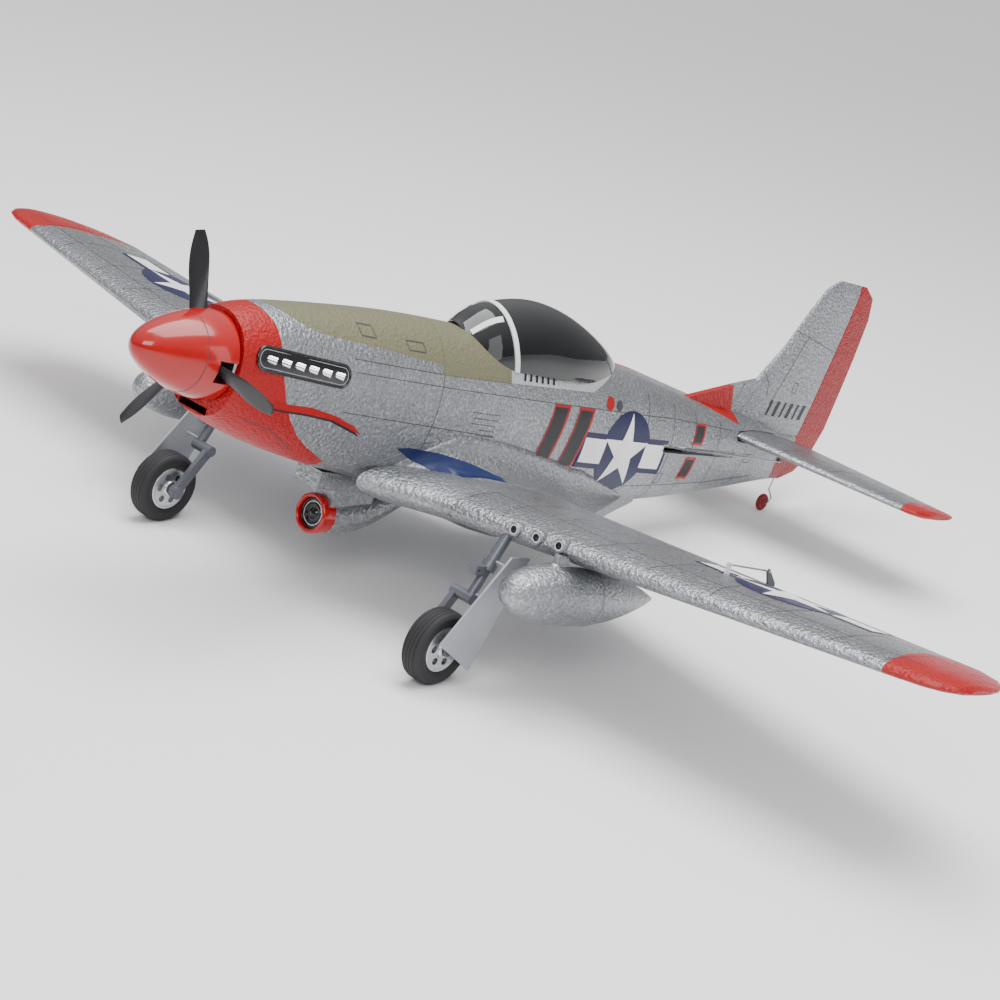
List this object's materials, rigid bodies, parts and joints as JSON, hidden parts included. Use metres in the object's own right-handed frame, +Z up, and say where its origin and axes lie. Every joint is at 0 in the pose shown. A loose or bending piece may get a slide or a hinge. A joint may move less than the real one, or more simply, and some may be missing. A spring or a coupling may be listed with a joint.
{
  "type": "radio-controlled foam airplane",
  "caption": "Foam model of a low-wing, single-engine fighter with bubble canopy, chin spinner, belly scoop, wing tanks, tail-dragger gear and working control surfaces.",
  "frame": {"origin": "centre of the footprint at the ground, standing on its three wheels", "axes": "+Z up, -Y forward (the way the nose points), +X to the port wing tip; the fuselage's own axes are pitched nose-up by 10.187 degrees about X"},
  "size_m": [1.2, 1.0452, 0.329],
  "materials": {
    "silver_foam": "painted moulded foam, bead texture",
    "red_foam": "painted moulded foam, bead texture",
    "red_plastic": "gloss moulding",
    "black_plastic": "gloss moulding",
    "grey_plastic": "satin moulding",
    "white_plastic": "satin moulding",
    "light_grey_plastic": "satin moulding",
    "dark_canopy": "gloss tinted moulding",
    "chrome_trim": "polished",
    "silver_metal": "turned",
    "steel_wire": "drawn wire",
    "magnet_steel": "plated",
    "dark_metal": "satin paint",
    "tyre_rubber": "matt",
    "red_rubber": "matt",
    "lens_glass": "polished, dark behind",
    "carbon_tube": "pultruded tube",
    "plywood": "bare ply",
    "battery_wrap": "shrink wrap"
  },
  "bodies": {
    "airframe": {"fuselage_left": "silver_foam", "fuselage_right": "silver_foam", "vertical_fin": "silver_foam", "wing_left": "silver_foam", "wing_right": "silver_foam", "wing_spars": "carbon_tube", "stabiliser": "silver_foam", "radiator_scoop": "silver_foam", "camera_fairing": "silver_foam", "camera_ring": "red_plastic", "camera_lens": "lens_glass", "exhaust_panels": "black_plastic", "exhaust_stacks": "chrome_trim", "gun_barrels": "chrome_trim", "drop_tanks": "silver_foam", "firewall": "plywood", "motor_stator": "dark_metal", "speed_controller": "black_plastic", "battery": "battery_wrap", "equipment_tray": "plywood", "receiver": "grey_plastic", "servos": "grey_plastic", "frame_magnets": "magnet_steel", "hinge_leaves": "white_plastic", "hinge_pins": "steel_wire", "gear_leg_left": "dark_metal", "gear_leg_right": "dark_metal", "gear_doors": "light_grey_plastic"},
    "hatch": {"hatch_base": "silver_foam", "canopy": "dark_canopy", "windshield_frame": "white_plastic", "hatch_magnets": "magnet_steel"},
    "propeller_group": {"spinner": "red_plastic", "propeller": "black_plastic", "spinner_backplate": "silver_metal", "motor_bell": "dark_metal"},
    "aileron_left_body": {"aileron_left": "silver_foam", "aileron_horn_left": "grey_plastic"},
    "aileron_right_body": {"aileron_right": "silver_foam", "aileron_horn_right": "grey_plastic"},
    "aileron_arm_left_body": {"aileron_arm_left": "white_plastic"},
    "aileron_arm_right_body": {"aileron_arm_right": "white_plastic"},
    "aileron_rod_left_body": {"aileron_rod_left": "steel_wire"},
    "aileron_rod_right_body": {"aileron_rod_right": "steel_wire"},
    "elevator_body": {"elevator": "silver_foam", "elevator_joiner": "steel_wire", "elevator_horn": "grey_plastic"},
    "elevator_arm_body": {"elevator_arm": "white_plastic"},
    "elevator_rod_body": {"elevator_rod": "steel_wire"},
    "rudder_body": {"rudder": "red_foam", "rudder_horn": "grey_plastic", "tail_strut": "steel_wire"},
    "rudder_arm_body": {"rudder_arm": "white_plastic"},
    "rudder_rod_body": {"rudder_rod": "steel_wire"},
    "wheel_left": {"tyre_left": "tyre_rubber", "hub_left": "silver_metal"},
    "wheel_right": {"tyre_right": "tyre_rubber", "hub_right": "silver_metal"},
    "tail_wheel_body": {"tail_wheel": "red_rubber"}
  },
  "joints": [
    {"name": "propeller_spin", "type": "hinge", "parent": "airframe", "child": "propeller_group", "pos_m": [0, -0.45371, 0.23697], "axis": [0, 0.9842, -0.1769], "continuous": true},
    {"name": "hatch_lift", "type": "slide", "parent": "airframe", "child": "hatch", "axis": [0, 0.1769, 0.9842], "range_m": [0, 0.08]},
    {"name": "aileron_left_hinge", "type": "hinge", "parent": "airframe", "child": "aileron_left_body", "pos_m": [0.328, -0.07502, 0.11817], "axis": [0.9881, -0.0961, 0.1197], "range_deg": [-25, 25]},
    {"name": "aileron_right_hinge", "type": "hinge", "parent": "airframe", "child": "aileron_right_body", "pos_m": [-0.328, -0.07502, 0.11817], "axis": [0.9881, 0.0961, -0.1197], "range_deg": [-25, 25]},
    {"name": "aileron_arm_left_turn", "type": "hinge", "parent": "airframe", "child": "aileron_arm_left_body", "pos_m": [0.33489, -0.1345, 0.13232], "axis": [0.9881, -0.0961, 0.1197], "range_deg": [-25, 25]},
    {"name": "aileron_rod_left_swing", "type": "hinge", "parent": "aileron_arm_left_body", "child": "aileron_rod_left_body", "pos_m": [0.33317, -0.13151, 0.14896], "axis": [0.9881, -0.0961, 0.1197], "range_deg": [-25, 25]},
    {"name": "aileron_arm_right_turn", "type": "hinge", "parent": "airframe", "child": "aileron_arm_right_body", "pos_m": [-0.33489, -0.1345, 0.13232], "axis": [0.9881, 0.0961, -0.1197], "range_deg": [-25, 25]},
    {"name": "aileron_rod_right_swing", "type": "hinge", "parent": "aileron_arm_right_body", "child": "aileron_rod_right_body", "pos_m": [-0.33317, -0.13151, 0.14896], "axis": [0.9881, 0.0961, -0.1197], "range_deg": [-25, 25]},
    {"name": "elevator_hinge", "type": "hinge", "parent": "airframe", "child": "elevator_body", "pos_m": [0.0135, 0.38933, 0.08852], "axis": [1, 0, 0], "range_deg": [-20, 20]},
    {"name": "elevator_arm_turn", "type": "hinge", "parent": "airframe", "child": "elevator_arm_body", "pos_m": [0.0225, 0.0291, 0.15326], "axis": [1, 0, 0], "range_deg": [-20, 20]},
    {"name": "elevator_rod_swing", "type": "hinge", "parent": "elevator_arm_body", "child": "elevator_rod_body", "pos_m": [0.0225, 0.02556, 0.13357], "axis": [1, 0, 0], "range_deg": [-20, 20]},
    {"name": "rudder_hinge", "type": "hinge", "parent": "airframe", "child": "rudder_body", "pos_m": [0, 0.42137, 0.03501], "axis": [0, 0.3149, 0.9491], "range_deg": [-25, 25]},
    {"name": "rudder_arm_turn", "type": "hinge", "parent": "airframe", "child": "rudder_arm_body", "pos_m": [0, 0.07397, 0.11956], "axis": [0, 0.3149, 0.9491], "range_deg": [-25, 25]},
    {"name": "rudder_rod_swing", "type": "hinge", "parent": "rudder_arm_body", "child": "rudder_rod_body", "pos_m": [-0.018, 0.07397, 0.11956], "axis": [0, 0.3149, 0.9491], "range_deg": [-25, 25]},
    {"name": "wheel_left_spin", "type": "hinge", "parent": "airframe", "child": "wheel_left", "pos_m": [0.181, -0.29681, 0.033], "axis": [1, 0, 0], "continuous": true},
    {"name": "wheel_right_spin", "type": "hinge", "parent": "airframe", "child": "wheel_right", "pos_m": [-0.181, -0.29681, 0.033], "axis": [1, 0, 0], "continuous": true},
    {"name": "tail_wheel_spin", "type": "hinge", "parent": "rudder_body", "child": "tail_wheel_body", "pos_m": [0, 0.41069, 0.0095], "axis": [1, 0, 0], "continuous": true}
  ],
  "couplings": [
    {"joint": "aileron_right_hinge", "follows": "aileron_left_hinge", "ratio": -1},
    {"joint": "aileron_arm_left_turn", "follows": "aileron_left_hinge", "ratio": 1},
    {"joint": "aileron_rod_left_swing", "follows": "aileron_left_hinge", "ratio": -1},
    {"joint": "aileron_arm_right_turn", "follows": "aileron_left_hinge", "ratio": -1},
    {"joint": "aileron_rod_right_swing", "follows": "aileron_left_hinge", "ratio": 1},
    {"joint": "elevator_arm_turn", "follows": "elevator_hinge", "ratio": 1},
    {"joint": "elevator_rod_swing", "follows": "elevator_hinge", "ratio": -1},
    {"joint": "rudder_arm_turn", "follows": "rudder_hinge", "ratio": 1},
    {"joint": "rudder_rod_swing", "follows": "rudder_hinge", "ratio": -1}
  ]
}
